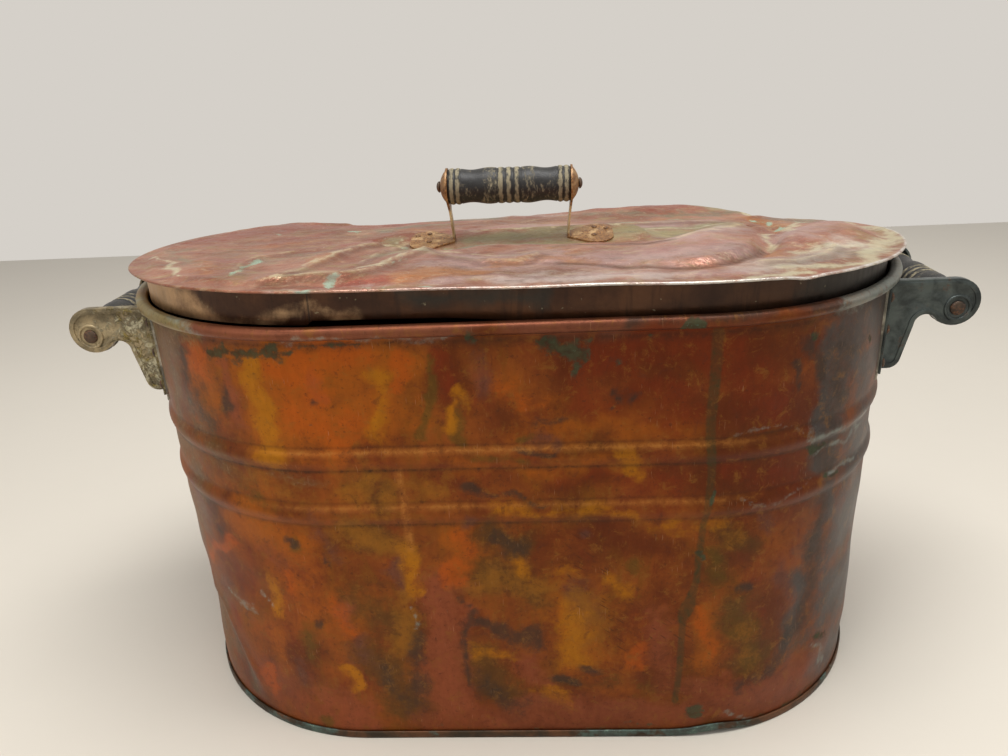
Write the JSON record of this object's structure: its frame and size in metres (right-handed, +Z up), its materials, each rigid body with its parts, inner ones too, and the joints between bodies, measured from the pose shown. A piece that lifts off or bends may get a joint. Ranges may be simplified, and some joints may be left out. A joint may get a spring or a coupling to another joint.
{
  "type": "copper wash boiler",
  "caption": "Long oval sheet-copper wash boiler with a wired rim, swaged beads, a loose lid with a turned grip, and a turned carrying grip in pressed ears at each end.",
  "frame": {"origin": "on the floor under the middle of the tub", "axes": "+X along the tub towards the grip at the right-hand end, +Y from the front to the back, +Z up"},
  "size_m": [0.6208, 0.316, 0.3728],
  "materials": {
    "body_copper": "aged copper sheet with heat patina and green verdigris",
    "base_copper": "tarnished copper, dark blue-green",
    "lid_copper": "dull rose-brown copper sheet, creased, with verdigris",
    "skirt_copper": "dark brown tarnished copper",
    "iron": "rusted iron",
    "strap_steel": "tinned sheet steel, worn and rusting",
    "ear_steel_pale": "tinned sheet steel with pale corrosion",
    "ear_steel_dark": "dull grey-green sheet steel with rust",
    "pad_steel": "blackened sheet steel",
    "rivet_iron": "rusted iron",
    "burr_copper": "dull copper washers",
    "grip_wood": "black painted hardwood, worn on the raised rings"
  },
  "bodies": {
    "boiler": {"front_wall": "body_copper", "rear_wall": "body_copper", "bottom_pan": "base_copper", "rim_wire": "iron", "left_front_ear": "ear_steel_pale", "left_rear_ear": "ear_steel_pale", "right_front_ear": "ear_steel_dark", "right_rear_ear": "ear_steel_dark", "left_front_pad": "pad_steel", "left_rear_pad": "pad_steel", "right_front_pad": "pad_steel", "right_rear_pad": "pad_steel", "left_grip_rod": "iron", "right_grip_rod": "iron", "left_ear_rivets": "rivet_iron", "right_ear_rivets": "rivet_iron", "left_rivet_burrs": "burr_copper", "right_rivet_burrs": "burr_copper"},
    "lid": {"lid_top": "lid_copper", "lid_skirt": "skirt_copper", "lid_left_strap": "strap_steel", "lid_right_strap": "strap_steel", "lid_grip_rod": "iron", "lid_left_rivets": "rivet_iron", "lid_right_rivets": "rivet_iron", "lid_rivet_burrs": "burr_copper"},
    "lid_grip": {"lid_grip": "grip_wood"},
    "left_grip": {"left_grip": "grip_wood"},
    "right_grip": {"right_grip": "grip_wood"}
  },
  "joints": [
    {"name": "lid_lift", "type": "slide", "parent": "boiler", "child": "lid", "axis": [0, 0, 1], "range_m": [0, 0.35]},
    {"name": "lid_grip_spin", "type": "hinge", "parent": "lid", "child": "lid_grip", "pos_m": [0.0005, -0.00397, 0.35943], "axis": [0.9999, 0, -0.0122], "continuous": true},
    {"name": "left_grip_spin", "type": "hinge", "parent": "boiler", "child": "left_grip", "pos_m": [-0.29603, 0, 0.2745], "axis": [0, 1, 0], "continuous": true},
    {"name": "right_grip_spin", "type": "hinge", "parent": "boiler", "child": "right_grip", "pos_m": [0.29603, 0, 0.2745], "axis": [0, 1, 0], "continuous": true}
  ]
}
